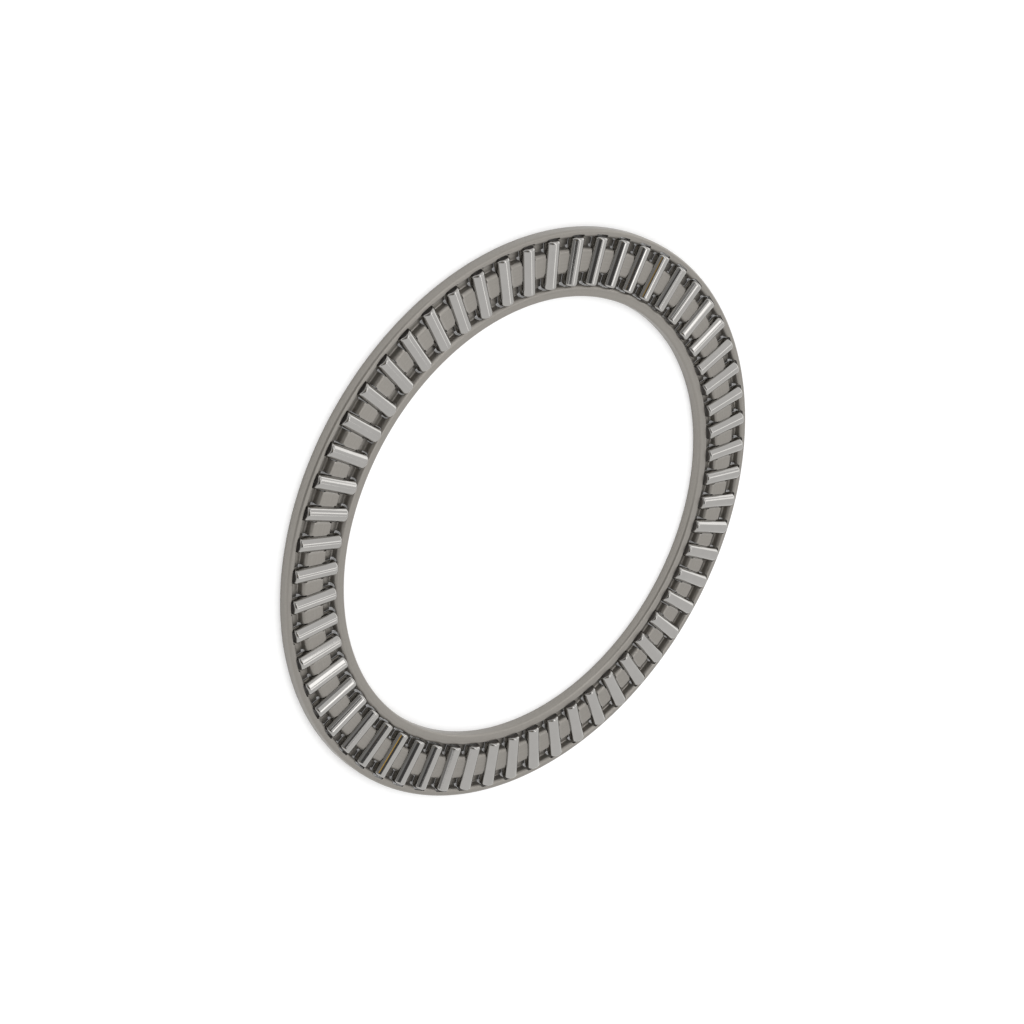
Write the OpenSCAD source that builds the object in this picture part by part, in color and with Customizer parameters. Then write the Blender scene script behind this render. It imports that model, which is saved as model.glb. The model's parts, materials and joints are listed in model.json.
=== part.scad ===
// Axial needle roller and cage assembly: a thrust bearing that is used without washers of its own.
// Needle rollers lie like spokes in the pockets of one cage, which is pressed from sheet steel.
// The origin is the bearing centre, +Z is the bearing axis and z = 0 is the plane of the roller axes.
// Rollers are numbered anticlockwise, seen from +Z, and the first one lies on -Y.

/* [Envelope] */
// Bore diameter of the cage, from which the widths below lead out to the outside diameter
bore_d = 120; // [112:1:200]
// Height of the cage, from the lower edges of its skirts to the tops of its rims
cage_h = 2.7; // [2.5:0.1:2.9]
// Gap under the cage, which has sunk on its rollers almost to the face that they stand on
cage_gap = 0.05; // [0.05:0.05:0.3]

/* [Rollers] */
// Number of needle rollers
roller_count = 58; // [24:1:59]
// Diameter of a needle roller
roller_d = 4; // [3.8:0.1:4.2]
// Length of a needle roller
roller_len = 12.5; // [11.5:0.1:13]
// Edge radius at the ends of a roller
roller_edge_r = 0.6; // [0.2:0.1:0.9]

/* [Cage sheet] */
// Thickness of the sheet steel
sheet_t = 0.6; // [0.4:0.1:0.7]
// Inside radius of the bends beside the valleys
bend_r = 0.4; // [0.2:0.1:0.5]
// Inside radius of the tight bends, at the skirts and at the steps from the rims to the tabs
tight_bend_r = 0.1; // [0.05:0.05:0.15]
// Width of the outer rim, from the outside of the cage to the outer valley
outer_rim_w = 3.2; // [3:0.1:3.4]
// Width of the inner rim, from the bore to the inner valley
inner_rim_w = 4.6; // [4.3:0.1:4.8]
// Width of the outer valley, between the outer rim and the middle land
outer_valley_w = 1.6; // [1.4:0.1:1.9]
// Width of the inner valley, between the middle land and the inner rim
inner_valley_w = 1.5; // [1.3:0.1:1.8]
// Drop of the tabs between the rollers below the tops of the rims
tab_drop = 0.2; // [0.1:0.05:0.3]
// Length of the step from a rim down to its tabs
step_len = 0.3; // [0.3:0.05:0.4]
// Length of the outer tabs, from the outer valley to their step up to the rim
outer_tab_len = 1.55; // [1.45:0.05:1.9]
// Length of the inner tabs, from the inner valley to their step up to the rim
inner_tab_len = 2.15; // [1.6:0.05:2.5]
// Width of the flat top of the middle land
land_w = 4.6; // [4:0.1:4.8]
// Height of the middle land's top above the roller axes
land_top = 0.65; // [0.65:0.05:0.9]

/* [Pockets] */
// Play between the end of a roller and the end of its pocket
end_play = 0.55; // [0.3:0.05:0.7]
// Play between the side of a roller and the edges that hold it
side_play = 0.07; // [0.05:0.01:0.1]
// How far a lip of the middle land reaches in above the widest line of a roller
lip_hold = 0.03; // [0.02:0.01:0.05]
// Height over which a lip leans in
lip_h = 0.4; // [0.2:0.1:0.5]
// Distance from the ends of a lip to the bends of the land
lip_inset = 0.1; // [0.05:0.05:0.3]
// Distance from a holding edge of a valley floor to the bends beside it
claw_inset = 0.1; // [0.05:0.05:0.2]
// Gap beside a roller at the top of the middle land
land_gap = 0.15; // [0.1:0.05:0.3]
// Gap beside a roller in the webs
web_gap = 0.2; // [0.15:0.05:0.5]
// Gap beside a roller in the rims
rim_gap = 0.15; // [0.1:0.05:0.3]
// Chamfer of the corners of a pocket
pocket_chamfer = 0.4; // [0.2:0.05:0.8]

/* [Hidden] */
$fn = 180;

// How far a cut runs on past a face of the sheet, and from one cut of a pocket into the next
OVERCUT = 0.5;
CUT_OVERLAP = 0.05;

// Flats that the outside and the inside of a quarter bend are drawn with
BEND_OUTSIDE_FLATS = 3;
BEND_INSIDE_FLATS = 1;

// Steps that the round edge of a roller is drawn with
ROUND_STEPS = 3;

// The widths of the sheet's rims, valleys and land add up from the bore to the outside
land_foot_w = land_w + 2 * (sheet_t + bend_r);
bore_r = bore_d / 2;
inner_face_r = bore_r + inner_rim_w;
pitch_r = inner_face_r + inner_valley_w + land_foot_w / 2;
outer_face_r = pitch_r + land_foot_w / 2 + outer_valley_w;
outside_r = outer_face_r + outer_rim_w;

pitch_angle = 360 / roller_count;
roller_r = roller_d / 2;

// Middle line of the sheet, which turns in a round bend at each corner
bend_mid_r = bend_r + sheet_t / 2;
tight_mid_r = tight_bend_r + sheet_t / 2;
low_z = cage_gap - roller_r;
rim_mid_z = low_z + cage_h - sheet_t / 2;
tab_mid_z = rim_mid_z - tab_drop;
valley_mid_z = low_z + sheet_t / 2;
land_mid_z = land_top - sheet_t / 2;
outer_skirt_r = outside_r - sheet_t / 2;
outer_wall_r = outer_face_r + sheet_t / 2;
outer_step_r = outer_face_r + outer_tab_len;
bore_skirt_r = bore_r + sheet_t / 2;
inner_wall_r = inner_face_r - sheet_t / 2;
inner_step_r = inner_face_r - inner_tab_len;
web_offset = land_w / 2 + bend_mid_r;

// Corners of the middle line, from the outer skirt over the rims and the land to the bore skirt,
// each with the radius that the middle line turns in
SHEET_LINE = [
    [outer_skirt_r, low_z, 0],
    [outer_skirt_r, rim_mid_z, tight_mid_r],
    [outer_step_r, rim_mid_z, tight_mid_r],
    [outer_step_r - step_len, tab_mid_z, tight_mid_r],
    [outer_wall_r, tab_mid_z, bend_mid_r],
    [outer_wall_r, valley_mid_z, bend_mid_r],
    [pitch_r + web_offset, valley_mid_z, bend_mid_r],
    [pitch_r + web_offset, land_mid_z, bend_mid_r],
    [pitch_r - web_offset, land_mid_z, bend_mid_r],
    [pitch_r - web_offset, valley_mid_z, bend_mid_r],
    [inner_wall_r, valley_mid_z, bend_mid_r],
    [inner_wall_r, tab_mid_z, bend_mid_r],
    [inner_step_r + step_len, tab_mid_z, tight_mid_r],
    [inner_step_r, rim_mid_z, tight_mid_r],
    [bore_skirt_r, rim_mid_z, tight_mid_r],
    [bore_skirt_r, low_z, 0],
];

// Pocket: the lips of the middle land hold a roller from above, and the valley floors from below
pocket_end = roller_len / 2 + end_play;
lip_end = land_w / 2 - lip_inset;
lip_half_w = roller_r - lip_hold;
lip_z = sqrt(pow(roller_r, 2) - pow(lip_half_w - side_play, 2));
claw_half_w = roller_half_w(low_z + sheet_t) + side_play;
claw_start = land_w / 2 + sheet_t + 2 * bend_r + claw_inset;

ROLLER_NAMES = [for (i = [1:roller_count]) str("roller_", i < 10 ? "0" : "", i)];

function unit(v) = v / norm(v);
function turned(v, a) = [v[0] * cos(a) - v[1] * sin(a), v[0] * sin(a) + v[1] * cos(a)];
function reversed(list) = [for (i = [len(list) - 1:-1:0]) list[i]];

// Half of a roller's width at a height above or below its axis
function roller_half_w(z) = sqrt(pow(roller_r, 2) - pow(z, 2));

// A quarter circle about a point, from one direction on
function quarter(centre, r, from) = [
    for (k = [0:ROUND_STEPS]) centre + turned([r, 0], from + k * 90 / ROUND_STEPS)
];

// Moves its children, made along +X, to the place of a roller
module at_roller(i) {
    rotate([0, 0, (i - 1) * pitch_angle - 90])
        translate([pitch_r, 0, 0])
            children();
}

// The direction to the left of a direction of travel
function left_of(v) = [-v[1], v[0]];

// Points where one face of the sheet turns round a corner of its middle line
function bend(corner, mid_r, before, after, side) = let (
    turn = asin(before[0] * after[1] - before[1] * after[0]),
    inward = left_of(before) * sign(turn),
    centre = corner - before * mid_r * tan(abs(turn) / 2) + inward * mid_r,
    r = mid_r - side * sign(turn),
    quarter_steps = r > mid_r ? BEND_OUTSIDE_FLATS : BEND_INSIDE_FLATS,
    steps = max(1, floor(quarter_steps * abs(turn) / 90))
) [for (k = [0:steps]) centre - turned(inward, turn * k / steps) * r];

// One face of the sheet, at a distance to the left of its middle line
function bent_line(line, side) = let (
    last = len(line) - 1,
    at = [for (p = line) [p[0], p[1]]],
    dirs = [for (i = [1:last]) unit(at[i] - at[i - 1])]
) [
    at[0] + left_of(dirs[0]) * side,
    for (i = [1:last - 1]) each bend(at[i], line[i][2], dirs[i - 1], dirs[i], side),
    at[last] + left_of(dirs[last - 1]) * side,
];

// Section of the sheet along a line with corners
module bent_sheet(line) {
    polygon(concat(bent_line(line, sheet_t / 2), reversed(bent_line(line, -sheet_t / 2))));
}

// Plan of a pocket's end: wide through the web, narrow between the claws, then up to the rim
module pocket_end_plan(wall_x) {
    web_half_w = roller_r + web_gap;
    rim_half_w = roller_r + rim_gap;
    claw_end = wall_x - bend_r - claw_inset;
    half = [
        [lip_end, web_half_w],
        [claw_start, web_half_w],
        [claw_start, claw_half_w],
        [claw_end, claw_half_w],
        [claw_end, rim_half_w],
        [pocket_end - pocket_chamfer, rim_half_w],
        [pocket_end, rim_half_w - pocket_chamfer],
    ];
    polygon(concat(half, reversed([for (p = half) [p[0], -p[1]]])));
}

// Section of the opening between two lips, seen along the roller
module lip_opening() {
    half = [
        [roller_r + side_play, land_top - sheet_t - OVERCUT],
        [roller_r + side_play, lip_z - lip_h],
        [lip_half_w, lip_z],
        [roller_r + land_gap, land_top],
        [roller_r + land_gap, land_top + OVERCUT],
    ];
    polygon(concat(half, reversed([for (p = half) [-p[0], p[1]]])));
}

// The space that one pocket takes out of the sheet, with the middle of its roller at the origin
module pocket() {
    translate([0, 0, -cage_h])
        linear_extrude(2 * cage_h) {
            pocket_end_plan(outer_face_r - pitch_r);
            mirror([1, 0])
                pocket_end_plan(pitch_r - inner_face_r);
        }
    rotate([90, 0, 90])
        linear_extrude(2 * (lip_end + CUT_OVERLAP), center = true)
            lip_opening();
}

module cage() {
    color("#8f8b85")
        difference() {
            rotate_extrude()
                bent_sheet(SHEET_LINE);
            for (i = [1:roller_count])
                at_roller(i)
                    pocket();
        }
}

// One needle roller: a ground cylinder with flat ends and round edges
module roller(i) {
    edge_x = roller_r - roller_edge_r;
    edge_y = roller_len / 2 - roller_edge_r;
    color("#c4c2bf")
        at_roller(i)
            rotate([0, 90, 0])
                rotate_extrude($fn = 64)
                    polygon([
                        [0, -roller_len / 2],
                        each quarter([edge_x, -edge_y], roller_edge_r, -90),
                        each quarter([edge_x, edge_y], roller_edge_r, 0),
                        [0, roller_len / 2],
                    ]);
}

cage();
for (i = [1:roller_count])
    roller(i);
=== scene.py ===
import json
import logging
import math
import random
from dataclasses import dataclass, field
from enum import Enum, IntEnum

import bmesh
import bpy
from mathutils import Matrix, Vector


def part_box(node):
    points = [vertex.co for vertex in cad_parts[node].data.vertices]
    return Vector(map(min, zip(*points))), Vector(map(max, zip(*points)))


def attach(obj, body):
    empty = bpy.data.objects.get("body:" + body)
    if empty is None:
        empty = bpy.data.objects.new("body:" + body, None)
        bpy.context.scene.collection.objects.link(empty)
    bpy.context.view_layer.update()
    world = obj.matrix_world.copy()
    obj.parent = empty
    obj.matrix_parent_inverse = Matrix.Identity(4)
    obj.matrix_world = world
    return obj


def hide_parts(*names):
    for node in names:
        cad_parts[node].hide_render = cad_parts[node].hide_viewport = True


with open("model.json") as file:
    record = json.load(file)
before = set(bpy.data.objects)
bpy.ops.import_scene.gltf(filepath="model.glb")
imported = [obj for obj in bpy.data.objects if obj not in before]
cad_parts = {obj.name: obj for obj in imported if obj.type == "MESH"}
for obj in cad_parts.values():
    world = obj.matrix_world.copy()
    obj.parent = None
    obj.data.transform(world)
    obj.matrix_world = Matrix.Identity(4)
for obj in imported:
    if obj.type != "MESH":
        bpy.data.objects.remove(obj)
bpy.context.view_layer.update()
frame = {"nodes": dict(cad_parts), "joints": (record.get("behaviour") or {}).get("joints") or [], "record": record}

MM = 0.001
HALVINGS = 40  # of a stretch of the section, to find a place in it
LOG = logging.getLogger("needle_roller_bearing")


def linear(hex_colour: str) -> tuple[float, float, float, float]:
    """Turns an sRGB hex colour into the linear colour that a shader takes.

    Args:
        hex_colour: colour such as "#8f8b85".

    Returns:
        Linear red, green, blue and an alpha of 1.
    """
    channels = [int(hex_colour[i:i + 2], 16) / 255 for i in (1, 3, 5)]
    low = [c / 12.92 for c in channels]
    high = [((c + 0.055) / 1.055) ** 2.4 for c in channels]
    return tuple(a if c <= 0.04045 else b for c, a, b in zip(channels, low, high)) + (1.0,)


def add_node(tree: bpy.types.NodeTree, kind: str, inputs: dict | None = None,
             **settings: object) -> bpy.types.Node:
    """Adds a node, sets its properties and fills or links its inputs.

    Args:
        tree: node tree that gets the node.
        kind: Blender's type name of the node.
        inputs: input name or number, to its value or to the output socket that feeds it.
        **settings: properties of the node itself.

    Returns:
        The new node.
    """
    node = tree.nodes.new(kind)
    for name, value in settings.items():
        setattr(node, name, value)
    for key, value in (inputs or {}).items():
        if isinstance(value, bpy.types.NodeSocket):
            tree.links.new(value, node.inputs[key])
        else:
            node.inputs[key].default_value = value
    return node


def new_material(name: str) -> bpy.types.Material:
    """Makes a material with an empty node tree.

    Args:
        name: name of the material.

    Returns:
        The material.
    """
    material = bpy.data.materials.new(name)
    material.use_nodes = True
    material.node_tree.nodes.clear()
    return material


def add_object(name: str, data: bpy.types.ID) -> bpy.types.Object:
    """Makes an object and links it to the scene.

    Args:
        name: name of the object.
        data: its mesh, lamp or camera.

    Returns:
        The object.
    """
    thing = bpy.data.objects.new(name, data)
    bpy.context.scene.collection.objects.link(thing)
    return thing


class Mark(Enum):
    """Vertex marks that a piece's mesh carries for its finish."""

    CUT = "cut_face"
    WORN = "worn_edge"


@dataclass(frozen=True)
class PressedSheetSteel:
    """Cold-rolled strip steel, pressed, punched and barrel-tumbled to a satin grey.

    Tumbling leaves a soft, slightly warm grey with broad reflections and a fine mottle, the press
    drags faint streaks round the rims, and edges that rub are a little brighter. Punched walls are
    darker and duller, because they are torn and not rolled.
    """

    body_hex: str = "#918d87"
    dark_hex: str = "#89857f"
    worn_hex: str = "#a8a5a0"
    cut_hex: str = "#787470"
    bare_metal: float = 0.7  # the rest is the dull grey skin that tumbling leaves
    roughness: float = 0.34
    roughness_span: tuple[float, float] = (-0.04, 0.2)
    grain_mm: float = 0.5  # the real grain is about 0.05 mm, which is too fine to show
    streak_mm: float = 0.35
    cloud_mm: float = 6.0
    bump_mm: float = 0.006

    def make(self) -> bpy.types.Material:
        """Builds the material.

        Returns:
            The material for the cage.
        """
        material = new_material("pressed_tumbled_sheet_steel")
        tree = material.node_tree
        place = add_node(tree, "ShaderNodeTexCoord").outputs["Object"]
        parts = add_node(tree, "ShaderNodeSeparateXYZ", {0: place})
        level = add_node(tree, "ShaderNodeVectorMath", {0: place, 1: (1, 1, 0)}, operation="MULTIPLY")
        radius = add_node(tree, "ShaderNodeVectorMath", {
            0: level.outputs[0],
        }, operation="LENGTH").outputs["Value"]
        ring = add_node(tree, "ShaderNodeCombineXYZ", {"X": radius, "Z": parts.outputs["Z"]}).outputs[0]
        streaks = add_node(tree, "ShaderNodeTexNoise", {
            "Vector": ring, "Scale": 1 / (self.streak_mm * MM), "Detail": 3.0, "Roughness": 0.6,
        }).outputs[0]
        grain = add_node(tree, "ShaderNodeTexNoise", {
            "Vector": place, "Scale": 1 / (self.grain_mm * MM), "Detail": 4.0, "Roughness": 0.65,
        }).outputs[0]
        clouds = add_node(tree, "ShaderNodeTexNoise", {
            "Vector": place, "Scale": 1 / (self.cloud_mm * MM), "Detail": 2.0,
        }).outputs[0]
        tone = add_node(tree, "ShaderNodeMix", {
            "Factor": clouds, "A": grain, "B": streaks,
        }, data_type="FLOAT").outputs["Result"]
        colour = add_node(tree, "ShaderNodeMix", {
            "Factor": add_node(tree, "ShaderNodeMapRange", {
                "Value": tone, "From Min": 0.35, "From Max": 0.65,
            }).outputs[0],
            "A": linear(self.dark_hex), "B": linear(self.body_hex),
        }, data_type="RGBA")
        worn = add_node(tree, "ShaderNodeAttribute", attribute_name=Mark.WORN.value).outputs["Fac"]
        cut = add_node(tree, "ShaderNodeAttribute", attribute_name=Mark.CUT.value).outputs["Fac"]
        rubbed = add_node(tree, "ShaderNodeMix", {
            "Factor": add_node(tree, "ShaderNodeMath", {
                0: worn,
                1: add_node(tree, "ShaderNodeMapRange", {
                    "Value": grain, "From Min": 0.3, "From Max": 0.7, "To Min": 0.4,
                }).outputs[0],
            }, operation="MULTIPLY").outputs[0],
            "A": colour.outputs["Result"], "B": linear(self.worn_hex),
        }, data_type="RGBA")
        torn = add_node(tree, "ShaderNodeMix", {
            "Factor": cut, "A": rubbed.outputs["Result"], "B": linear(self.cut_hex),
        }, data_type="RGBA")
        rough = add_node(tree, "ShaderNodeMapRange", {
            "Value": add_node(tree, "ShaderNodeMath", {0: grain, 1: cut}, operation="ADD").outputs[0],
            "From Min": 0.3, "From Max": 1.4,
            "To Min": self.roughness + self.roughness_span[0],
            "To Max": self.roughness + self.roughness_span[1],
        }).outputs[0]
        height = add_node(tree, "ShaderNodeMath", {
            0: grain, 1: streaks,
        }, operation="ADD").outputs[0]
        bump = add_node(tree, "ShaderNodeBump", {
            "Height": height, "Strength": 0.6, "Distance": self.bump_mm * MM,
        }).outputs[0]
        shader = add_node(tree, "ShaderNodeBsdfPrincipled", {
            "Base Color": torn.outputs["Result"], "Metallic": self.bare_metal,
            "Roughness": rough, "Normal": bump,
        })
        add_node(tree, "ShaderNodeOutputMaterial", {"Surface": shader.outputs[0]})
        return material


@dataclass(frozen=True)
class GroundBearingSteel:
    """Through-hardened bearing steel, centreless ground and superfinished.

    Grinding runs round the roller, so its mirror is clear along the roller and slightly blurred
    round it, with hair-fine rings. The ends are left as cut and are duller.
    """

    half_len_mm: float
    body_hex: str = "#aba9a6"
    shade_hex: str = "#a3a19e"
    end_hex: str = "#8b8885"
    roughness: float = 0.09
    roughness_span: tuple[float, float] = (-0.03, 0.03)
    end_roughness: float = 0.34
    ring_mm: float = 0.3  # real grinding marks are about 0.02 mm apart, which is too fine to show
    cloud_mm: float = 2.5
    bump_mm: float = 0.0006
    end_blend_mm: tuple[float, float] = (0.12, 0.02)  # from the end: where its look starts, and is full

    def make(self) -> bpy.types.Material:
        """Builds the material.

        Returns:
            The material for the rollers, whose own X axis runs along the roller.
        """
        material = new_material("ground_superfinished_bearing_steel")
        tree = material.node_tree
        place = add_node(tree, "ShaderNodeTexCoord").outputs["Object"]
        along = add_node(tree, "ShaderNodeSeparateXYZ", {0: place}).outputs["X"]
        rings = add_node(tree, "ShaderNodeTexNoise", {
            "Vector": add_node(tree, "ShaderNodeVectorMath", {
                0: place, 1: (1.0, 0.04, 0.04),
            }, operation="MULTIPLY").outputs[0],
            "Scale": 1 / (self.ring_mm * MM), "Detail": 3.0, "Roughness": 0.6,
        }).outputs[0]
        clouds = add_node(tree, "ShaderNodeTexNoise", {
            "Vector": place, "Scale": 1 / (self.cloud_mm * MM), "Detail": 2.0,
        }).outputs[0]
        blend_start, blend_stop = ((self.half_len_mm - inset) * MM for inset in self.end_blend_mm)
        end = add_node(tree, "ShaderNodeMapRange", {
            "Value": add_node(tree, "ShaderNodeMath", {0: along}, operation="ABSOLUTE").outputs[0],
            "From Min": blend_start, "From Max": blend_stop,
        }).outputs[0]
        barrel = add_node(tree, "ShaderNodeMix", {
            "Factor": clouds, "A": linear(self.shade_hex), "B": linear(self.body_hex),
        }, data_type="RGBA")
        colour = add_node(tree, "ShaderNodeMix", {
            "Factor": end, "A": barrel.outputs["Result"], "B": linear(self.end_hex),
        }, data_type="RGBA")
        rough = add_node(tree, "ShaderNodeMix", {
            "Factor": end,
            "A": add_node(tree, "ShaderNodeMapRange", {
                "Value": rings, "From Min": 0.3, "From Max": 0.7,
                "To Min": self.roughness + self.roughness_span[0],
                "To Max": self.roughness + self.roughness_span[1],
            }).outputs[0],
            "B": self.end_roughness,
        }, data_type="FLOAT").outputs["Result"]
        bump = add_node(tree, "ShaderNodeBump", {
            "Height": rings, "Strength": 0.5, "Distance": self.bump_mm * MM,
        }).outputs[0]
        shader = add_node(tree, "ShaderNodeBsdfPrincipled", {
            "Base Color": colour.outputs["Result"], "Metallic": 1.0, "Roughness": rough, "Normal": bump,
        })
        add_node(tree, "ShaderNodeOutputMaterial", {"Surface": shader.outputs[0]})
        return material


class MeshPlan:
    """Vertices, faces and marks of a mesh while it is being built, in millimetres."""

    def __init__(self) -> None:
        """Starts empty."""
        self.points: list[tuple[float, float, float]] = []
        self.faces: list[tuple[int, ...]] = []
        self.marks: dict[Mark, list[float]] = {mark: [] for mark in Mark}

    def point(self, x: float, y: float, z: float, cut: float = 0.0, worn: float = 0.0) -> int:
        """Adds a vertex.

        Args:
            x: place along X.
            y: place along Y.
            z: place along Z.
            cut: 1 on a punched wall.
            worn: 1 on an edge that rubs.

        Returns:
            The vertex's number.
        """
        self.points.append((x * MM, y * MM, z * MM))
        self.marks[Mark.CUT].append(cut)
        self.marks[Mark.WORN].append(worn)
        return len(self.points) - 1

    def strip(self, one: list[int], other: list[int], closed: bool = False) -> None:
        """Joins two rows of vertices with quads.

        Args:
            one: first row.
            other: second row, as long as the first.
            closed: whether the rows are rings.
        """
        count = len(one) if closed else len(one) - 1
        for k in range(count):
            j = (k + 1) % len(one)
            self.faces.append((one[k], one[j], other[j], other[k]))

    def skin(self, rows: list[list[int]], closed: bool = False) -> None:
        """Joins rows of vertices with quads, each row to the next one.

        Args:
            rows: the rows, all of one length.
            closed: whether the rows are rings.
        """
        for one, other in zip(rows, rows[1:]):
            self.strip(one, other, closed)

    def build(self, name: str, sharp_deg: float = 40.0) -> bpy.types.Object:
        """Makes the object, with smooth shading that breaks at sharp edges.

        Args:
            name: name of the object.
            sharp_deg: angle between faces from which an edge is sharp.

        Returns:
            The object, linked to the scene.
        """
        mesh = bpy.data.meshes.new(name)
        mesh.from_pydata(self.points, [], self.faces)
        for mark, values in self.marks.items():
            layer = mesh.attributes.new(mark.value, "FLOAT", "POINT")
            layer.data.foreach_set("value", values)
        work = bmesh.new()
        work.from_mesh(mesh)
        bmesh.ops.recalc_face_normals(work, faces=work.faces)
        for edge in work.edges:
            if len(edge.link_faces) == 2:
                edge.smooth = edge.calc_face_angle(0.0) < math.radians(sharp_deg)
        for face in work.faces:
            face.smooth = True
        work.to_mesh(mesh)
        work.free()
        return add_object(name, mesh)


class Flat(IntEnum):
    """Numbers of the flats of the cage's section that are looked up; its bends have the odd numbers."""

    OUTER_RIM = 2
    OUTER_WALL = 4
    OUTER_VALLEY = 6
    LAND = 10
    INNER_VALLEY = 14
    INNER_WALL = 16
    INNER_RIM = 18


class Face(IntEnum):
    """The two faces of the sheet, each numbered as its point in the wall of a pocket."""

    OUTER = 0
    INNER = -1


@dataclass(frozen=True)
class Station:
    """A place along the middle line of the cage sheet's section, in millimetres."""

    r: float
    z: float
    out_r: float
    out_z: float

    def at_depth(self, depth: float, thickness: float) -> tuple[float, float]:
        """Gives the place at a depth below the sheet's outer face.

        Args:
            depth: depth below the outer face.
            thickness: thickness of the sheet.

        Returns:
            Radius and height.
        """
        lift = thickness / 2 - depth
        return self.r + self.out_r * lift, self.z + self.out_z * lift


@dataclass(frozen=True)
class SectionLine:
    """A flat or a round bend of the sheet's middle line, in millimetres.

    A flat starts at its base and goes its way. A bend turns round its base, from where its way
    points, and a side of 1 turns it anticlockwise.
    """

    start: float
    length: float
    base: Vector
    way: Vector
    radius: float = 0.0
    side: float = 0.0

    @property
    def stop(self) -> float:
        """Developed length at its end."""
        return self.start + self.length

    def at(self, run: float) -> Station:
        """Finds the place at a developed length along the section.

        Args:
            run: developed length from the outer skirt's edge.

        Returns:
            The station there.
        """
        if not self.radius:
            spot = self.base + self.way * (run - self.start)
            return Station(spot.x, spot.y, self.way.y, -self.way.x)
        spoke = Matrix.Rotation(self.side * (run - self.start) / self.radius, 2) @ self.way
        spot = self.base + spoke * self.radius
        return Station(spot.x, spot.y, spoke.x * self.side, spoke.y * self.side)


@dataclass(frozen=True)
class WallPoint:
    """A point on the wall of a pocket: how far it stands back from the pocket's edge, and how deep."""

    back: float
    depth: float
    cut: float
    worn: float


@dataclass(frozen=True)
class WidthStep:
    """A step along a pocket's side: its middle, its length, and the half width and lip share after it."""

    run: float
    length: float
    width: float
    lip: float

    def share(self, run: float) -> float:
        """Tells how much of the step is done at a place, eased at both ends.

        Args:
            run: developed length along the section.

        Returns:
            0 before the step, 1 after it.
        """
        share = min(max((run - self.run) / self.length + 0.5, 0.0), 1.0)
        return share * share * (3 - 2 * share)


@dataclass(frozen=True)
class OutlinePoint:
    """A point on a pocket's side: its place on the section, half width, outward normal and lip share."""

    run: float
    width: float
    out_run: float
    out_width: float
    lip: float


@dataclass(frozen=True)
class Spot:
    """A place on the way round a pocket: its outline point, then its side or its column across an end."""

    point: int
    side: int = 0
    column: int = 0


@dataclass
class FaceRows:
    """Rows of vertices on one face of the cage, each found by its roller and its outline point.

    The bars' rows run across the bar after a roller, and the ends' rows across the ends of its pocket.
    """

    rollers: int
    bars: dict[tuple[int, int], list[int]] = field(default_factory=dict)
    ends: dict[tuple[int, int], list[int]] = field(default_factory=dict)

    def ring(self, point: int) -> list[int]:
        """Collects the full ring of vertices at one end of the pockets.

        Args:
            point: number of the outline point, the first or the last.

        Returns:
            The ring, from the first roller round.
        """
        return [v for s in range(self.rollers) for v in self.ends[s, point] + self.bars[s, point]]

    def at(self, roller: int, spot: Spot) -> int:
        """Finds the vertex at a place round a pocket.

        Args:
            roller: number of the pocket's roller.
            spot: the place.

        Returns:
            The vertex's number.
        """
        if spot.side == 1:
            return self.bars[roller, spot.point][0]
        if spot.side == -1:
            return self.bars[(roller - 1) % self.rollers, spot.point][-1]
        return self.ends[roller, spot.point][spot.column]


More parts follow.
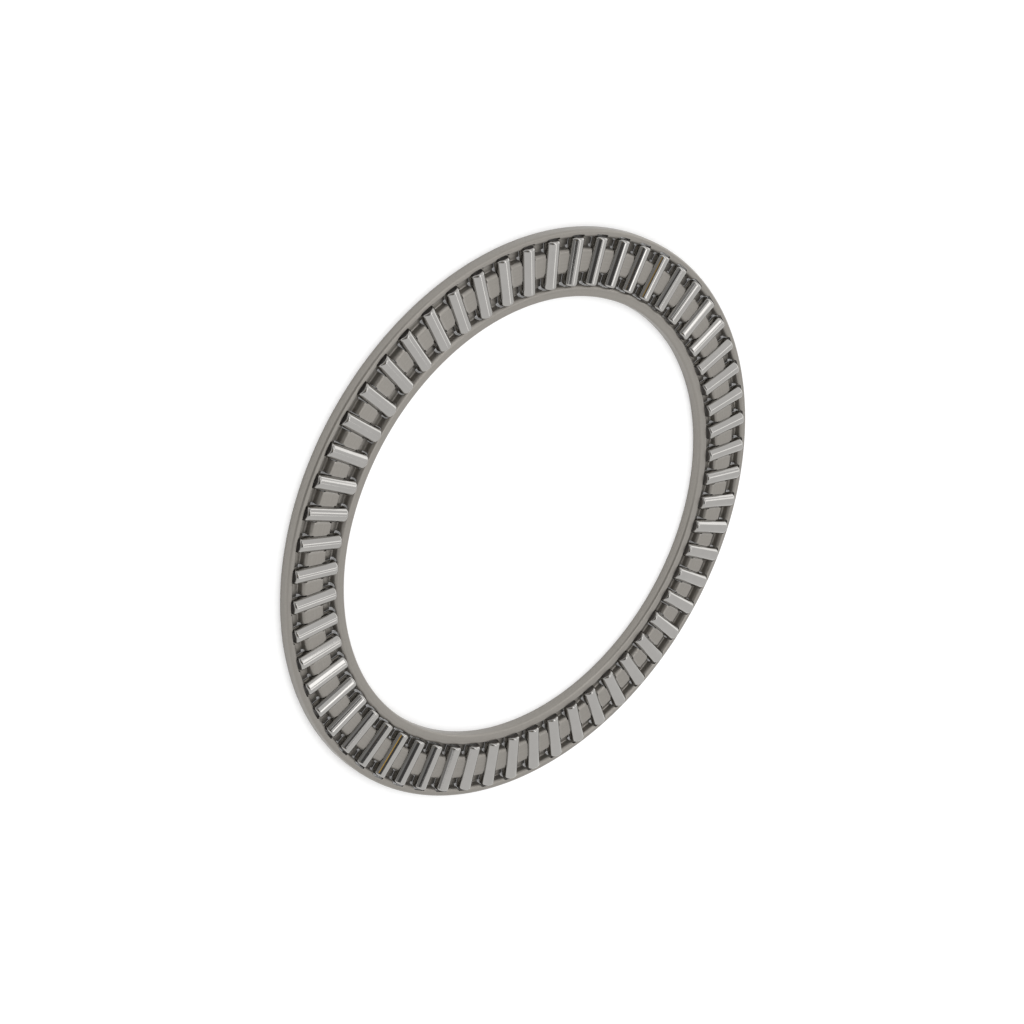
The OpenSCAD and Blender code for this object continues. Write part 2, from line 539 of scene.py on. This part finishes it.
@dataclass
class Cage:
    """The ring pressed from sheet steel, with one lipped pocket for each roller, sizes in millimetres.

    Its section runs from the outer skirt over the rim and down a wall into the outer valley, up a web
    to the middle land, and down and up again to the bore. Lips of the land lean over each roller,
    and claws of the valley floors hold it from below.
    """

    rollers: int
    bore_r: float
    outside_r: float
    low: float
    height: float
    pitch_r: float
    roller_r: float
    roller_len: float
    sheet: float = 0.6
    bend_r: float = 0.4
    tight_r: float = 0.1
    outer_rim: float = 2.15
    inner_rim: float = 3.0
    land: float = 4.6
    land_top: float = 0.65
    end_play: float = 0.55
    side_play: float = 0.07
    lip_hold: float = 0.03
    lip_height: float = 0.4
    lip_blend: float = 0.5
    lip_polish: float = 0.6  # share of the torn look that staking takes off a lip
    land_gap: float = 0.15
    web_gap: float = 0.2
    rim_gap: float = 0.15
    claw_inset: float = 0.1
    corner_r: float = 0.5
    step_len: float = 0.12
    roll_over: float = 0.1
    burr: float = 0.03
    burr_height: float = 0.06
    lip_curve: tuple[tuple[float, float], ...] = ((1.0, 0.0), (0.5, 0.4), (0.15, 0.7), (0.0, 1.0))
    wall_cut: tuple[float, ...] = (0.0, 0.1, 0.3, 0.5, 1.0, 1.0)
    wall_worn: tuple[float, ...] = (0.3, 1.0, 1.0, 0.5, 0.2, 0.6)
    row_gap: float = 0.06
    least_rows: int = 4
    corner_steps: int = 5
    bend_steps: int = 7
    bar_columns: int = 6
    pocket_columns: int = 6
    lines: list[SectionLine] = field(default_factory=list)
    outline: list[OutlinePoint] = field(default_factory=list)
    walls: list[list[WallPoint]] = field(default_factory=list)

    def corners(self) -> list[tuple[float, float, float]]:
        """Lists the corners of the sheet's middle line, from the outer skirt's edge to the bore's.

        Returns:
            Radius and height of each corner, and the radius that the line bends in there.
        """
        half = self.sheet / 2
        low_z = self.low + half
        rim_z = self.low + self.height - half
        land_z = self.land_top - half
        outer_face = self.outside_r - self.outer_rim
        inner_face = self.bore_r + self.inner_rim
        web = self.land / 2 + self.bend_r + half
        wide, tight = self.bend_r + half, self.tight_r + half
        return [
            (self.outside_r - half, self.low, 0.0),
            (self.outside_r - half, rim_z, tight),
            (outer_face + half, rim_z, wide),
            (outer_face + half, low_z, wide),
            (self.pitch_r + web, low_z, wide),
            (self.pitch_r + web, land_z, wide),
            (self.pitch_r - web, land_z, wide),
            (self.pitch_r - web, low_z, wide),
            (inner_face - half, low_z, wide),
            (inner_face - half, rim_z, wide),
            (self.bore_r + half, rim_z, tight),
            (self.bore_r + half, self.low, 0.0),
        ]

    def section(self) -> list[SectionLine]:
        """Splits the middle line into flats and round bends.

        Returns:
            The flats and the bends between them, from the outer skirt's edge on.
        """
        corners = self.corners()
        spots = [Vector(corner[:2]) for corner in corners]
        run, here, lines = 0.0, spots[0], []
        for (_, _, radius), before, spot, after in zip(corners[1:-1], spots, spots[1:], spots[2:]):
            ahead, onward = (spot - before).normalized(), (after - spot).normalized()
            side = math.copysign(1, ahead.cross(onward))
            turn = math.acos(min(1.0, ahead.dot(onward)))
            tangent = radius * math.tan(turn / 2)
            flat = SectionLine(run, (spot - ahead * tangent - here).length, here, ahead)
            inward = Vector((-ahead.y, ahead.x)) * side
            centre = spot - ahead * tangent + inward * radius
            bend = SectionLine(flat.stop, radius * turn, centre, -inward, radius, side)
            lines += [flat, bend]
            run, here = bend.stop, spot + onward * tangent
        lines.append(SectionLine(run, (spots[-1] - here).length, here, (spots[-1] - spots[-2]).normalized()))
        return lines

    @property
    def run(self) -> float:
        """Developed length of the section."""
        return self.lines[-1].stop

    def at(self, run: float) -> Station:
        """Finds the place at a developed length along the section.

        Args:
            run: developed length from the outer skirt's edge.

        Returns:
            The station there.
        """
        return next((line for line in self.lines if run <= line.stop), self.lines[-1]).at(run)

    def run_at(self, first: Flat, last: Flat, r: float) -> float:
        """Finds the developed length at which the section reaches a radius.

        Args:
            first: first flat to look in.
            last: last flat to look in.
            r: radius.

        Returns:
            The developed length.
        """
        low, high = self.lines[first].start, self.lines[last].stop
        for _ in range(HALVINGS):
            middle = (low + high) / 2
            low, high = (middle, high) if self.at(middle).r > r else (low, middle)
        return (low + high) / 2

    def width_steps(self) -> list[WidthStep]:
        """Lists where a pocket's side steps to another width, from its outer end to its inner end.

        Returns:
            The steps: claws in the outer valley, web, lips of the land, web, claws in the inner valley, rim.
        """
        claw = math.sqrt(self.roller_r ** 2 - (self.low + self.sheet) ** 2) + self.side_play
        web = self.roller_r + self.web_gap
        rim = self.roller_r + self.rim_gap
        lip = self.roller_r - self.lip_hold
        web_foot = self.pitch_r + self.land / 2 + self.sheet + 2 * self.bend_r + self.claw_inset
        outer_foot = self.outside_r - self.outer_rim - self.bend_r - self.claw_inset
        inner_foot = self.bore_r + self.inner_rim + self.bend_r + self.claw_inset
        lip_end = self.land / 2 - self.lip_blend / 2
        return [
            WidthStep(self.run_at(flat, flat, r), length, width, share)
            for flat, r, length, width, share in (
                (Flat.OUTER_VALLEY, outer_foot, self.step_len, claw, 0.0),
                (Flat.OUTER_VALLEY, web_foot, self.step_len, web, 0.0),
                (Flat.LAND, self.pitch_r + lip_end, self.lip_blend, lip, 1.0),
                (Flat.LAND, self.pitch_r - lip_end, self.lip_blend, web, 0.0),
                (Flat.INNER_VALLEY, 2 * self.pitch_r - web_foot, self.step_len, claw, 0.0),
                (Flat.INNER_VALLEY, inner_foot, self.step_len, rim, 0.0),
            )
        ]

    def corner_points(self, end: float, way: int) -> list[OutlinePoint]:
        """Rounds a corner of a pocket.

        Args:
            end: developed length at the pocket's end.
            way: 1 at the outer end of the pocket, -1 at the inner end.

        Returns:
            The points, from the pocket's end to its side.
        """
        middle = self.roller_r + self.rim_gap - self.corner_r
        arc = [math.radians(90 * k / self.corner_steps) for k in range(self.corner_steps + 1)]
        return [
            OutlinePoint(end + way * self.corner_r * (1 - math.sin(a)), middle + self.corner_r * math.cos(a),
                         -way * math.sin(a), math.cos(a), 0.0)
            for a in reversed(arc)
        ]

    def pocket_outline(self) -> list[OutlinePoint]:
        """Lists the points of one side of a pocket, from the middle of its outer corner to its inner one.

        Returns:
            The points, with their run, their distance from the roller's axis and their outward normal.
        """
        reach = self.roller_len / 2 + self.end_play
        first = self.run_at(Flat.OUTER_RIM, Flat.OUTER_WALL, self.pitch_r + reach)
        last = self.run_at(Flat.INNER_WALL, Flat.INNER_RIM, self.pitch_r - reach)
        points = self.corner_points(first, 1)
        runs = {run for run in self.bend_runs() if points[-1].run < run < last - self.corner_r}
        steps = self.width_steps()
        for step in steps:
            count = max(self.least_rows, round(step.length / self.row_gap))
            runs |= {step.run + step.length * (k / count - 0.5) for k in range(count + 1)}
        for run in self.thinned(sorted(runs)):
            width, lip = self.roller_r + self.rim_gap, 0.0
            for step in steps:
                share = step.share(run)
                width += (step.width - width) * share
                lip += (step.lip - lip) * share
            points.append(OutlinePoint(run, width, 0.0, 1.0, lip))
        return points + self.corner_points(last, -1)[::-1]

    def bend_runs(self) -> list[float]:
        """Lists the places on the section at which its bends are divided.

        Returns:
            Developed lengths in rising order.
        """
        runs = []
        for bend in (line for line in self.lines if line.radius):
            steps = max(2, round(self.bend_steps * bend.length / bend.radius / (math.pi / 2)))
            runs += [bend.start + bend.length * k / steps for k in range(steps + 1)]
        return runs

    @staticmethod
    def thinned(runs: list[float], least: float = 0.02) -> list[float]:
        """Drops places that lie too close to the one before.

        Args:
            runs: developed lengths in rising order.
            least: least distance between two of them.

        Returns:
            The places that stay.
        """
        kept = runs[:1]
        for run in runs[1:]:
            if run - kept[-1] >= least:
                kept.append(run)
        return kept

    def wall(self, lip: float) -> list[WallPoint]:
        """Gives the wall of a pocket, or of a cut edge, from the outer face to the inner one.

        Args:
            lip: 0 for a plain punched wall, 1 for a lip that is staked over the roller.

        Returns:
            The wall's points, the first on the outer face and the last on the inner face.
        """
        arc = [math.radians(a) for a in (0, 30, 60, 90)]
        plain = [(self.roll_over * (1 - math.sin(a)), self.roll_over * (1 - math.cos(a))) for a in arc]
        plain += [(0.0, self.sheet - self.burr_height), (self.burr, self.sheet)]
        top = self.land_gap + self.lip_hold
        clear = self.lip_hold + self.side_play
        hold = self.land_top - math.sqrt(self.roller_r ** 2 - (self.roller_r - clear) ** 2)
        staked = [(top * lean, hold * drop) for lean, drop in self.lip_curve]
        staked += [(clear, hold + self.lip_height), (clear, self.sheet)]
        torn = 1 - self.lip_polish * lip
        return [
            WallPoint(a[0] + (b[0] - a[0]) * lip, a[1] + (b[1] - a[1]) * lip, cut * torn, worn)
            for a, b, cut, worn in zip(plain, staked, self.wall_cut, self.wall_worn)
        ]

    def depth(self, face: Face) -> float:
        """Depth of a face of the sheet below the outer face."""
        return self.sheet if face is Face.INNER else 0.0

    def end_shares(self) -> list[float]:
        """Lists where the columns across a pocket's end stand, as shares of its half width."""
        return [2 * c / self.pocket_columns - 1 for c in range(1, self.pocket_columns)]

    def bar_angles(self, span: float) -> list[float]:
        """Lists the angles of the columns across a bar, from a roller to the next one.

        Args:
            span: angle between a roller's axis and the side of its pocket.

        Returns:
            Angles in radians, from one side of the bar to the other.
        """
        pitch = 2 * math.pi / self.rollers
        return [span + (pitch - 2 * span) * c / self.bar_columns for c in range(self.bar_columns + 1)]

    def place(self, plan: MeshPlan, run: float, depth: float, sector: int, angle: float,
              cut: float = 0.0, worn: float = 0.0) -> int:
        """Adds a vertex of the cage.

        Args:
            plan: mesh being built.
            run: developed length along the section.
            depth: depth below the outer face.
            sector: number of the roller that the vertex is placed from.
            angle: angle from that roller in radians.
            cut: 1 on a punched wall.
            worn: 1 on an edge that rubs.

        Returns:
            The vertex's number.
        """
        r, z = self.at(run).at_depth(depth, self.sheet)
        turn = math.radians(-90 + 360 * sector / self.rollers) + angle
        return plan.point(r * math.cos(turn), r * math.sin(turn), z, cut, worn)

    def span(self, run: float, depth: float, side: float) -> float:
        """Turns a distance beside a roller's axis into an angle.

        Args:
            run: developed length along the section.
            depth: depth below the outer face.
            side: distance from the vertical plane through the roller's axis.

        Returns:
            The angle from the roller in radians.
        """
        return math.asin(side / self.at(run).at_depth(depth, self.sheet)[0])

    def face_rows(self, plan: MeshPlan, face: Face) -> FaceRows:
        """Places the vertices of one face of the sheet between the ends of the pockets.

        Args:
            plan: mesh being built.
            face: which face.

        Returns:
            The rows of vertices.
        """
        depth = self.depth(face)
        ends = (0, len(self.outline) - 1)
        rows = FaceRows(self.rollers)
        for s in range(self.rollers):
            for j, (point, wall) in enumerate(zip(self.outline, self.walls)):
                edge = wall[face]
                run = point.run + point.out_run * edge.back
                width = point.width + point.out_width * edge.back
                span = self.span(run, depth, width)
                low = self.place(plan, run, depth, s, span, worn=edge.worn)
                high = self.place(plan, run, depth, s + 1, -span, worn=edge.worn)
                middle_run = run if j in ends else point.run
                angles = self.bar_angles(span)[1:-1]
                middle = [self.place(plan, middle_run, depth, s, angle) for angle in angles]
                rows.bars[s, j] = [low, *middle, high]
            for j in ends:
                point, edge = self.outline[j], self.walls[j][face]
                run = point.run + point.out_run * edge.back
                spans = [self.span(run, depth, point.width * share) for share in self.end_shares()]
                rows.ends[s, j] = [self.place(plan, run, depth, s, span, worn=edge.worn) for span in spans]
        return rows

    def wall_column(self, plan: MeshPlan, rows: dict[Face, FaceRows], roller: int, spot: Spot) -> list[int]:
        """Places one column of a pocket's wall.

        Args:
            plan: mesh being built.
            rows: rows of vertices of both faces.
            roller: number of the pocket's roller.
            spot: the column's place round the pocket.

        Returns:
            The column's vertices, from the outer face to the inner one.
        """
        point = self.outline[spot.point]
        inner = []
        for step in self.walls[spot.point][1:-1]:
            run = point.run + point.out_run * step.back
            width = point.width * self.end_shares()[spot.column]
            if spot.side:
                width = (point.width + point.out_width * step.back) * spot.side
            span = self.span(run, step.depth, width)
            inner.append(self.place(plan, run, step.depth, roller, span, step.cut, step.worn))
        return [rows[Face.OUTER].at(roller, spot), *inner, rows[Face.INNER].at(roller, spot)]

    def join_walls(self, plan: MeshPlan, rows: dict[Face, FaceRows]) -> None:
        """Closes the wall of every pocket from the outer face to the inner one.

        Args:
            plan: mesh being built.
            rows: rows of vertices of both faces.
        """
        count, across = len(self.outline), range(self.pocket_columns - 1)
        loop = [Spot(j, side=1) for j in range(count)]
        loop += [Spot(count - 1, column=c) for c in reversed(across)]
        loop += [Spot(j, side=-1) for j in reversed(range(count))]
        loop += [Spot(0, column=c) for c in across]
        for s in range(self.rollers):
            columns = [self.wall_column(plan, rows, s, spot) for spot in loop]
            plan.skin([*columns, columns[0]])

    def full_ring(self, plan: MeshPlan, run: float, depth: float, angles: list[float],
                  cut: float = 0.0, worn: float = 0.0) -> list[int]:
        """Places a ring of vertices that runs all the way round.

        Args:
            plan: mesh being built.
            run: developed length along the section.
            depth: depth below the outer face.
            angles: angles from each roller in radians.
            cut: 1 on a punched wall.
            worn: 1 on an edge that rubs.

        Returns:
            The ring, from the first roller round.
        """
        return [
            self.place(plan, run, depth, s, angle, cut, worn)
            for s in range(self.rollers) for angle in angles
        ]

    def join_bands(self, plan: MeshPlan, rows: dict[Face, FaceRows]) -> None:
        """Adds the skirts and the rims beyond the pockets, which run all the way round.

        Args:
            plan: mesh being built.
            rows: rows of vertices of both faces.
        """
        edge = self.wall(0.0)
        for j, rim, way in ((0, 0.0, 1), (len(self.outline) - 1, self.run, -1)):
            end = self.outline[j]
            span = math.asin(end.width / self.at(end.run).r)
            angles = [span * share for share in self.end_shares()] + self.bar_angles(span)
            edges = []
            for face in Face:
                start = rim + way * edge[face].back
                stop = end.run + end.out_run * edge[face].back
                runs = [run for run in self.bend_runs() if min(start, stop) < run < max(start, stop)]
                runs.sort(key=lambda run: way * run)
                rings = [self.full_ring(plan, start, self.depth(face), angles, worn=edge[face].worn)]
                rings += [self.full_ring(plan, run, self.depth(face), angles) for run in runs]
                plan.skin([*rings, rows[face].ring(j)], closed=True)
                edges.append(rings[0])
            between = [
                self.full_ring(plan, rim + way * step.back, step.depth, angles, step.cut, step.worn)
                for step in edge[1:-1]
            ]
            plan.skin([edges[0], *between, edges[1]], closed=True)

    def build(self) -> bpy.types.Object:
        """Builds the cage as one closed sheet.

        Returns:
            The cage.
        """
        self.lines = self.section()
        self.outline = self.pocket_outline()
        self.walls = [self.wall(point.lip) for point in self.outline]
        plan = MeshPlan()
        rows = {face: self.face_rows(plan, face) for face in Face}
        for face_rows in rows.values():
            for s in range(self.rollers):
                plan.skin([face_rows.bars[s, j] for j in range(len(self.outline))])
        self.join_walls(plan, rows)
        self.join_bands(plan, rows)
        return plan.build("pressed_cage")

    def dress(self, piece: bpy.types.Object, finish: PressedSheetSteel) -> None:
        """Gives the cage its finish and its place in the frame.

        Args:
            piece: the cage.
            finish: the cage's finish.
        """
        piece.data.materials.append(finish.make())
        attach(piece, "cage")
        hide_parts("cage")


@dataclass
class NeedleRollers:
    """The needle rollers, one in each pocket, sizes in millimetres."""

    count: int
    pitch_r: float
    roller_r: float
    length: float
    edge_r: float = 0.6
    edge_steps: int = 6
    barrel_inset: float = 0.05
    face_rings: tuple[float, ...] = (0.75, 0.4)
    around: int = 96
    seed: int = 7

    def profile(self) -> list[tuple[float, float]]:
        """Gives a roller's outline from one end to the other.

        Returns:
            Place along the roller and radius of each point.
        """
        half = self.length / 2
        arc = [math.radians(90 * k / self.edge_steps) for k in range(self.edge_steps + 1)]
        edge = [
            (half - self.edge_r * (1 - math.sin(a)), self.roller_r - self.edge_r * (1 - math.cos(a)))
            for a in arc
        ]
        face = [(half, self.roller_r * share) for share in self.face_rings]
        barrel = [(half - self.edge_r - self.barrel_inset, self.roller_r)]
        right = barrel + edge + face
        return [(-x, r) for x, r in reversed(right)] + right

    def mesh(self) -> bpy.types.Mesh:
        """Builds the mesh that all rollers share, with its axis along X.

        Returns:
            The mesh.
        """
        plan = MeshPlan()
        turns = [2 * math.pi * k / self.around for k in range(self.around)]
        rings = [
            [plan.point(x, r * math.cos(turn), r * math.sin(turn)) for turn in turns]
            for x, r in self.profile()
        ]
        plan.skin(rings, closed=True)
        for ring, side in ((rings[0], -1), (rings[-1], 1)):
            middle = plan.point(side * self.length / 2, 0, 0)
            plan.faces += [(ring[k], ring[(k + 1) % self.around], middle) for k in range(self.around)]
        master = plan.build("needle_roller", sharp_deg=60.0)
        mesh = master.data
        bpy.data.objects.remove(master)
        return mesh

    def build(self, finish: GroundBearingSteel) -> list[bpy.types.Object]:
        """Builds and dresses the rollers.

        Args:
            finish: the rollers' finish.

        Returns:
            The rollers.
        """
        chance = random.Random(self.seed)
        mesh = self.mesh()
        mesh.materials.append(finish.make())
        pieces = []
        for i in range(1, self.count + 1):
            node = f"roller_{i:02d}"
            piece = add_object(f"needle_{node}", mesh)
            turn = math.radians(-90 + 360 * (i - 1) / self.count)
            piece.matrix_world = (
                Matrix.Rotation(turn, 4, "Z")
                @ Matrix.Translation((self.pitch_r * MM, 0, 0))
                @ Matrix.Rotation(chance.choice((0, 1, 2, 3)) * math.pi / 2, 4, "X")
            )
            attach(piece, node)
            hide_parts(node)
            pieces.append(piece)
        return pieces


def direction(azimuth: float, elevation: float) -> Vector:
    """Gives a direction from the bearing's middle.

    Args:
        azimuth: degrees anticlockwise from +X, seen from above.
        elevation: degrees above the floor.

    Returns:
        The direction, as a unit vector.
    """
    a, e = math.radians(azimuth), math.radians(elevation)
    return Vector((math.cos(a) * math.cos(e), math.sin(a) * math.cos(e), math.sin(e)))


@dataclass(frozen=True)
class Panel:
    """A flat panel that faces the bearing: a soft lamp, or a card that shows only in the metal.

    It reaches from one direction to another, each an azimuth and an elevation in degrees.
    """

    name: str
    start: tuple[float, float]
    stop: tuple[float, float]
    breadth_m: float
    glow: float
    hex_colour: str = "#ffffff"
    distance_m: float = 1.0

    def ends(self) -> tuple[Vector, Vector]:
        """Gives the middles of the panel's two ends.

        Returns:
            The places.
        """
        return direction(*self.start) * self.distance_m, direction(*self.stop) * self.distance_m

    @property
    def length_m(self) -> float:
        """Length from one end to the other."""
        first, last = self.ends()
        return (last - first).length

    def placed(self) -> Matrix:
        """Gives the panel's place, its own X along its length and its own -Z towards the bearing.

        Returns:
            Its matrix.
        """
        first, last = self.ends()
        middle = (first + last) / 2
        along, back = (last - first).normalized(), middle.normalized()
        turn = Matrix((along, back.cross(along), back)).transposed().to_4x4()
        return Matrix.Translation(middle) @ turn


def add_rectangle(name: str, size_x: float, size_y: float, place: Matrix) -> bpy.types.Object:
    """Adds a flat rectangle round its own middle.

    Args:
        name: name of the object.
        size_x: length along its own X, in metres.
        size_y: length along its own Y, in metres.
        place: its place in the scene.

    Returns:
        The rectangle.
    """
    x, y = size_x / 2, size_y / 2
    mesh = bpy.data.meshes.new(name)
    mesh.from_pydata([(-x, -y, 0), (x, -y, 0), (x, y, 0), (-x, y, 0)], [], [(0, 1, 2, 3)])
    rectangle = add_object(name, mesh)
    rectangle.matrix_world = place
    return rectangle


@dataclass
class Studio:
    """The plain studio: a white surround, a pale floor, soft lamps, cards and the camera."""

    floor_z: float
    lens_mm: float = 93.97
    sensor_mm: float = 36.0
    camera_mm: float = 684.1
    camera_elevation: float = 41.49
    camera_roll: float = 118.82
    camera_clip_m: tuple[float, float] = (0.01, 20.0)
    camera_shift: tuple[float, float] = (-0.01718, 0.0079)  # sets the ring in the frame
    floor_m: float = 6.0
    floor_hex: str = "#f2f2f2"
    floor_glow: float = 0.17
    lamps: tuple[Panel, ...] = ()
    cards: tuple[Panel, ...] = ()

    def set_camera(self) -> None:
        """Adds the camera."""
        data = bpy.data.cameras.new("studio_camera")
        data.lens, data.sensor_width = self.lens_mm, self.sensor_mm
        data.shift_x, data.shift_y = self.camera_shift
        data.clip_start, data.clip_end = self.camera_clip_m
        camera = add_object("studio_camera", data)
        e = math.radians(self.camera_elevation)
        back = Vector((0, -math.cos(e), math.sin(e)))
        camera.matrix_world = (
            Matrix.Translation(back * self.camera_mm * MM)
            @ (-back).to_track_quat("-Z", "Y").to_matrix().to_4x4()
            @ Matrix.Rotation(math.radians(self.camera_roll), 4, "Z")
        )
        bpy.context.scene.camera = camera

    def set_world(self) -> None:
        """Lights everything evenly from a white surround."""
        world = bpy.data.worlds.new("white_surround")
        world.use_nodes = True
        tree = world.node_tree
        tree.nodes.clear()
        glow = add_node(tree, "ShaderNodeBackground", {"Color": (1, 1, 1, 1), "Strength": 1.0})
        add_node(tree, "ShaderNodeOutputWorld", {"Surface": glow.outputs[0]})
        bpy.context.scene.world = world

    def set_floor(self) -> None:
        """Adds the floor that the rollers stand on: matt white paper, which looks evenly pale.

        A faint glow, which only the camera and the mirrors see, lifts it to white and keeps the shadow.
        """
        floor = add_rectangle("floor", self.floor_m, self.floor_m, Matrix.Translation((0, 0, self.floor_z)))
        material = new_material("matt_white_paper")
        tree = material.node_tree
        rays = add_node(tree, "ShaderNodeLightPath").outputs
        seen = add_node(tree, "ShaderNodeMath", {
            0: add_node(tree, "ShaderNodeMath", {
                0: rays["Is Camera Ray"], 1: rays["Is Glossy Ray"],
            }, operation="MAXIMUM").outputs[0],
            1: rays["Is Transmission Ray"],
        }, operation="MAXIMUM").outputs[0]
        glow = add_node(tree, "ShaderNodeEmission", {
            "Strength": add_node(tree, "ShaderNodeMath", {
                0: seen, 1: self.floor_glow,
            }, operation="MULTIPLY").outputs[0],
        })
        paper = add_node(tree, "ShaderNodeBsdfDiffuse", {"Color": linear(self.floor_hex)})
        both = add_node(tree, "ShaderNodeAddShader", {0: paper.outputs[0], 1: glow.outputs[0]})
        add_node(tree, "ShaderNodeOutputMaterial", {"Surface": both.outputs[0]})
        floor.data.materials.append(material)

    def set_lamps(self) -> None:
        """Adds the soft lamps, each as bright as its panel says."""
        for panel in self.lamps:
            data = bpy.data.lights.new(panel.name, "AREA")
            data.shape = "RECTANGLE"
            data.size, data.size_y = panel.length_m, panel.breadth_m
            data.energy = panel.glow * math.pi * panel.length_m * panel.breadth_m
            data.color = linear(panel.hex_colour)[:3]
            lamp = add_object(panel.name, data)
            lamp.matrix_world = panel.placed()
            lamp.visible_camera = False

    def set_cards(self) -> None:
        """Adds the dark, grey and brass cards, which show only in the metal."""
        for panel in self.cards:
            card = add_rectangle(panel.name, panel.length_m, panel.breadth_m, panel.placed())
            material = new_material(f"{panel.name}_face")
            tree = material.node_tree
            glow = add_node(tree, "ShaderNodeEmission", {
                "Color": linear(panel.hex_colour), "Strength": panel.glow,
            })
            add_node(tree, "ShaderNodeOutputMaterial", {"Surface": glow.outputs[0]})
            card.data.materials.append(material)
            card.visible_camera = False
            card.visible_diffuse = False
            card.visible_shadow = False

    def build(self) -> None:
        """Sets up the whole studio."""
        self.set_camera()
        self.set_world()
        self.set_floor()
        self.set_lamps()
        self.set_cards()
        bpy.context.scene.view_settings.view_transform = "Standard"


# Strips of light arch over the far side and the left, and the rollers there mirror them as bright lines
LAMPS = (
    Panel("back_strip_lamp", start=(90, 50), stop=(110, 77), breadth_m=0.12, glow=0.95),
    Panel("top_strip_lamp", start=(100, 74), stop=(160, 81), breadth_m=0.14, glow=1.75),
    Panel("left_strip_lamp", start=(165, 74), stop=(214, 38), breadth_m=0.17, glow=1.5),
    Panel("crown_strip_lamp", start=(132, 59), stop=(166, 71), breadth_m=0.12, glow=0.8),
    Panel("arch_strip_lamp", start=(143, 18), stop=(130, 59), breadth_m=0.14, glow=0.95),
    Panel("low_left_lamp", start=(118, 4), stop=(162, 10), breadth_m=0.35, glow=0.8),
)

# Dark and grey cards stand round the camera, and two warm brass strips draw fine gold lines on the
# rollers that lie along the line of sight
CARDS = (
    Panel("dark_camera_card", start=(240, 45), stop=(318, 50), breadth_m=0.5, glow=0.1),
    Panel("dark_upper_card", start=(285, 68), stop=(345, 80), breadth_m=0.4, glow=0.12),
    Panel("grey_camera_card", start=(225, 18), stop=(315, 18), breadth_m=0.6, glow=0.35, distance_m=1.2),
    Panel("right_brass_card", start=(278, 40), stop=(280, 52), breadth_m=0.05, glow=1.8,
          hex_colour="#c8a24a", distance_m=0.8),
    Panel("left_brass_card", start=(262, 40), stop=(260, 52), breadth_m=0.05, glow=1.0,
          hex_colour="#c8a24a", distance_m=0.8),
)


def main() -> None:
    """Builds the bearing and its studio, and reports each piece."""
    logging.basicConfig(level=logging.INFO, format="%(name)s: %(message)s")
    bore = next(mount for mount in frame["record"]["mounts"] if mount["name"] == "bore")
    hinge = next(joint for joint in frame["joints"] if joint["child"] == "roller_01")
    count = sum(name.startswith("roller_") for name in frame["nodes"])
    pitch_r = Vector(hinge["pos_m"]).length / MM
    cage_low, cage_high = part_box("cage")
    roller_low, roller_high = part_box("roller_01")
    roller_r = roller_high.z / MM
    roller_len = (roller_high.y - roller_low.y) / MM

    cage = Cage(rollers=count, bore_r=bore["dims"]["r_mm"], outside_r=cage_high.x / MM,
                low=cage_low.z / MM, height=(cage_high.z - cage_low.z) / MM,
                pitch_r=pitch_r, roller_r=roller_r, roller_len=roller_len)
    piece = cage.build()
    cage.dress(piece, PressedSheetSteel())
    LOG.info("%s: %d faces", piece.name, len(piece.data.polygons))

    finish = GroundBearingSteel(half_len_mm=roller_len / 2)
    rollers = NeedleRollers(count, pitch_r, roller_r, roller_len).build(finish)
    LOG.info("%d needle rollers, %d faces each", len(rollers), len(rollers[0].data.polygons))

    Studio(floor_z=roller_low.z, lamps=LAMPS, cards=CARDS).build()
    LOG.info("studio: %d lamps and %d cards", len(LAMPS), len(CARDS))

    LOG.info("boxes written")


if __name__ == "__main__":
    main()
